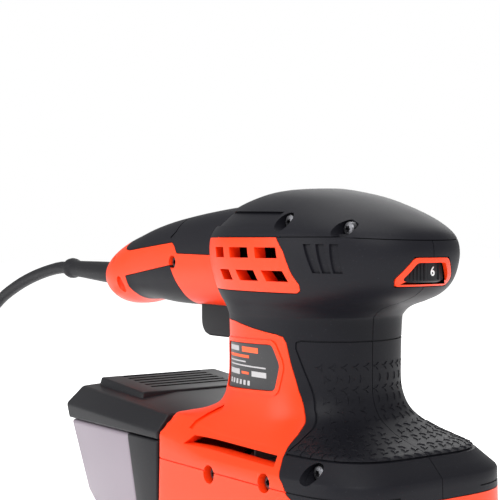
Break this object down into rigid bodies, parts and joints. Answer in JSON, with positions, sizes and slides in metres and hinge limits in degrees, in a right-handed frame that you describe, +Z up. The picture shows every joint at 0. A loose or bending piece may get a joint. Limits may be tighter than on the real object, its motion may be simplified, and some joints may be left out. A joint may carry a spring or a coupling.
{
  "type": "orbital finishing sander",
  "caption": "Two-handled electric orbital sander with a flat oblong platen, paper clamps, rear dust box, trigger handle, speed dial and mains cord.",
  "frame": {"origin": "on the sanding face, under the middle of the platen", "axes": "+X towards the front, away from the rear handle; +Y to the tool's left; +Z up, away from the work"},
  "size_m": [0.5147, 0.15, 0.1635],
  "materials": {
    "orange_plastic": "moulded, fine grain",
    "soft_black": "soft overmould, satin",
    "black_plastic": "moulded, fine grain",
    "rating_plate": "printed foil",
    "smoke_plastic": "tinted, see-through",
    "grey_plastic": "moulded",
    "lamination_steel": "stacked sheets",
    "bright_steel": "ground",
    "screw_steel": "blackened",
    "cast_aluminium": "cast",
    "copper_wire": null,
    "brass": "bright",
    "carbon": null,
    "circuit_board": null,
    "black_rubber": "matt",
    "pad_foam": null,
    "filter_cloth": "pleated cloth"
  },
  "bodies": {
    "housing": {"right_housing": "orange_plastic", "left_housing": "orange_plastic", "right_grip": "soft_black", "left_grip": "soft_black", "top_cover": "soft_black", "handle_top_pad": "soft_black", "right_handle_pad": "soft_black", "left_handle_pad": "soft_black", "dial_bezel": "orange_plastic", "rating_plate": "rating_plate", "housing_screw_1": "screw_steel", "housing_screw_2": "screw_steel", "housing_screw_3": "screw_steel", "housing_screw_4": "screw_steel", "housing_screw_5": "screw_steel", "housing_screw_6": "screw_steel", "bottom_plate": "black_plastic", "switch_body": "black_plastic", "speed_board": "circuit_board", "stator_core": "lamination_steel", "right_field_coil": "copper_wire", "left_field_coil": "copper_wire", "upper_bearing": "bright_steel", "lower_bearing": "bright_steel", "right_brush": "carbon", "left_brush": "carbon", "right_brush_holder": "brass", "left_brush_holder": "brass", "bearing_bracket": "cast_aluminium", "rubber_leg_1": "black_rubber", "rubber_leg_2": "black_rubber", "rubber_leg_3": "black_rubber", "rubber_leg_4": "black_rubber", "dust_duct": "black_plastic", "cord_boot": "black_rubber", "cord_clamp": "black_plastic", "cord": "black_rubber", "cord_coil": "black_rubber", "plug": "black_rubber"},
    "rotor": {"motor_shaft": "bright_steel", "armature_core": "lamination_steel", "upper_winding": "copper_wire", "lower_winding": "copper_wire", "commutator": "copper_wire", "fan": "grey_plastic", "counterweight": "bright_steel"},
    "platen": {"platen_bearing": "bright_steel", "platen_plate": "black_plastic", "foam_pad": "pad_foam"},
    "trigger": {"trigger": "black_plastic"},
    "lock_button": {"lock_on_button": "black_plastic"},
    "speed_dial": {"speed_dial": "black_plastic"},
    "dust_box": {"dust_frame": "black_plastic", "dust_bin": "smoke_plastic"},
    "dust_lid": {"dust_lid": "black_plastic", "dust_filter": "filter_cloth"},
    "front_clamp": {"front_clamp": "bright_steel"},
    "rear_clamp": {"rear_clamp": "bright_steel"}
  },
  "joints": [
    {"name": "rotor_spin", "type": "hinge", "parent": "housing", "child": "rotor", "pos_m": [0.022, 0, 0.08], "axis": [0, 0, 1], "continuous": true},
    {"name": "platen_orbit", "type": "hinge", "parent": "rotor", "child": "platen", "pos_m": [0.023, 0, 0.018], "axis": [0, 0, 1], "continuous": true},
    {"name": "trigger_press", "type": "slide", "parent": "housing", "child": "trigger", "axis": [0, 0, 1], "range_m": [0, 0.0045], "stiffness_N_per_m": 900},
    {"name": "lock_button_press", "type": "slide", "parent": "housing", "child": "lock_button", "axis": [0, -1, 0], "range_m": [0, 0.0023], "stiffness_N_per_m": 700},
    {"name": "speed_dial_turn", "type": "hinge", "parent": "housing", "child": "speed_dial", "pos_m": [0.0703, 0, 0.1312], "axis": [0, 0, 1], "range_deg": [-250, 0]},
    {"name": "dust_box_slide", "type": "slide", "parent": "housing", "child": "dust_box", "axis": [-1, 0, 0], "range_m": [0, 0.07]},
    {"name": "dust_lid_open", "type": "hinge", "parent": "dust_box", "child": "dust_lid", "pos_m": [-0.1055, 0, 0.0602], "axis": [0, -1, 0], "range_deg": [0, 18]},
    {"name": "front_clamp_lift", "type": "hinge", "parent": "platen", "child": "front_clamp", "pos_m": [0.0895, 0, 0.016], "axis": [0, 1, 0], "range_deg": [0, 25], "stiffness_Nm_per_rad": 0.6},
    {"name": "rear_clamp_lift", "type": "hinge", "parent": "platen", "child": "rear_clamp", "pos_m": [-0.0895, 0, 0.016], "axis": [0, -1, 0], "range_deg": [0, 25], "stiffness_Nm_per_rad": 0.6}
  ],
  "couplings": [
    {"joint": "platen_orbit", "follows": "rotor_spin", "ratio": -1}
  ]
}
